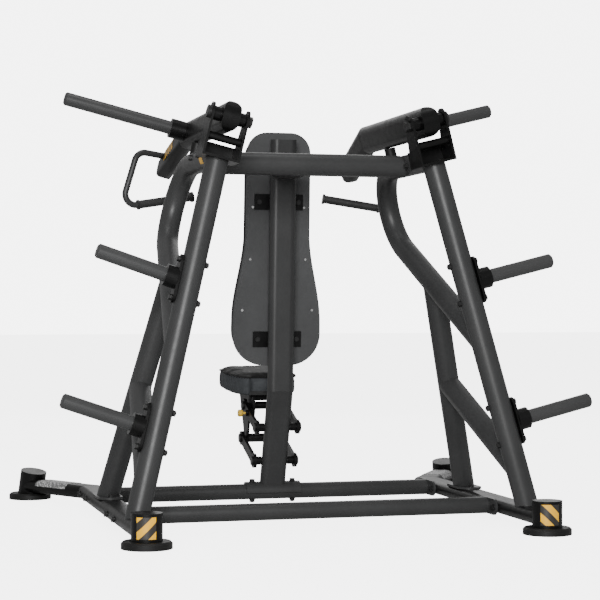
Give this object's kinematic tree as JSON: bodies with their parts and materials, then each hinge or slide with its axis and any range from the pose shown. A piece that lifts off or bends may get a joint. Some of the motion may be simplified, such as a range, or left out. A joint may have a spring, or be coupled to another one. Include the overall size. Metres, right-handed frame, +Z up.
{
  "type": "plate-loaded overhead press machine",
  "caption": "Plate-loaded overhead press machine with leaning side frames, lever arms, plate horns, backrest and an adjustable seat.",
  "frame": {"origin": "on the floor, in the middle of the feet", "axes": "+Z up, -Y towards the front where the user faces, +X to the seated user's left"},
  "size_m": [1.928, 1.7306, 1.5553],
  "materials": {
    "frame_paint": "satin charcoal powder coat",
    "black_paint": "satin black powder coat",
    "sleeve_coat": "smooth dark grey plastic-coated steel",
    "black_steel": "black oxide steel",
    "bright_steel": "zinc plated steel",
    "bronze": "plain bronze bearing",
    "black_rubber": "matt",
    "grip_rubber": "fine textured",
    "ring_metal": "dark anodised",
    "grey_board": "fine grained moulded back shell",
    "black_board": "painted plywood",
    "black_upholstery": "soft grained synthetic leather",
    "grey_upholstery": "soft grained synthetic leather",
    "yellow_plastic": "moulded knob on a steel pin",
    "hazard_film": "yellow and black striped film",
    "tread_film": "speckled anti-slip film"
  },
  "bodies": {
    "frame": {"left_base_rail": "black_paint", "right_base_rail": "black_paint", "left_foot_posts": "black_paint", "right_foot_posts": "black_paint", "rubber_feet": "black_rubber", "rear_cross_bar": "frame_paint", "front_cross_bar": "frame_paint", "left_rear_leg": "frame_paint", "right_rear_leg": "frame_paint", "left_front_leg": "frame_paint", "right_front_leg": "frame_paint", "left_bent_tube": "frame_paint", "right_bent_tube": "frame_paint", "left_brace": "frame_paint", "right_brace": "frame_paint", "top_bar": "frame_paint", "top_link_tube": "frame_paint", "column": "frame_paint", "left_pivot_bracket": "black_paint", "right_pivot_bracket": "black_paint", "left_pivot_pin": "black_steel", "right_pivot_pin": "black_steel", "stop_bumpers": "black_rubber", "left_low_storage_horn": "sleeve_coat", "left_high_storage_horn": "sleeve_coat", "right_low_storage_horn": "sleeve_coat", "right_high_storage_horn": "sleeve_coat", "frame_bolts": "black_steel", "frame_nuts": "black_steel", "backrest_board": "grey_board", "backrest_pad": "black_upholstery", "backrest_brackets": "black_paint", "backrest_screws": "bright_steel", "backrest_bolts": "black_steel", "column_pivot_shafts": "black_steel", "hazard_labels": "hazard_film", "floor_grip_pads": "tread_film"},
    "left_arm": {"left_press_arm": "black_paint", "left_arm_bearings": "bronze", "left_weight_horn": "sleeve_coat", "left_handle": "frame_paint", "left_grip": "grip_rubber", "left_grip_rings": "ring_metal", "left_arm_label": "hazard_film"},
    "right_arm": {"right_press_arm": "black_paint", "right_arm_bearings": "bronze", "right_weight_horn": "sleeve_coat", "right_handle": "frame_paint", "right_grip": "grip_rubber", "right_grip_rings": "ring_metal", "right_arm_label": "hazard_film"},
    "upper_link": {"upper_link": "black_paint", "upper_link_shaft": "black_steel"},
    "lower_link": {"lower_link": "black_paint", "lower_link_shaft": "black_steel"},
    "seat": {"seat_carrier": "black_paint", "seat_board": "black_board", "seat_pad": "grey_upholstery"},
    "pull_pin": {"pull_pin": "yellow_plastic"}
  },
  "joints": [
    {"name": "left_arm_pivot", "type": "hinge", "parent": "frame", "child": "left_arm", "pos_m": [0.35322, 0.496, 1.41372], "axis": [-0.9703, 0, -0.2419], "range_deg": [0, 45]},
    {"name": "right_arm_pivot", "type": "hinge", "parent": "frame", "child": "right_arm", "pos_m": [-0.35322, 0.496, 1.41372], "axis": [-0.9703, 0, 0.2419], "range_deg": [0, 45]},
    {"name": "upper_link_pivot", "type": "hinge", "parent": "frame", "child": "upper_link", "pos_m": [0, -0.23087, 0.307], "axis": [-1, 0, 0], "range_deg": [-36, 12]},
    {"name": "lower_link_pivot", "type": "hinge", "parent": "frame", "child": "lower_link", "pos_m": [0, -0.27442, 0.176], "axis": [-1, 0, 0], "range_deg": [-36, 12]},
    {"name": "seat_pivot", "type": "hinge", "parent": "upper_link", "child": "seat", "pos_m": [0, -0.43316, 0.37983], "axis": [-1, 0, 0], "range_deg": [-12, 36]},
    {"name": "pull_pin_slide", "type": "slide", "parent": "upper_link", "child": "pull_pin", "axis": [1, 0, 0], "range_m": [-0.009, 0]}
  ],
  "couplings": [
    {"joint": "lower_link_pivot", "follows": "upper_link_pivot", "ratio": 1},
    {"joint": "seat_pivot", "follows": "upper_link_pivot", "ratio": -1}
  ]
}
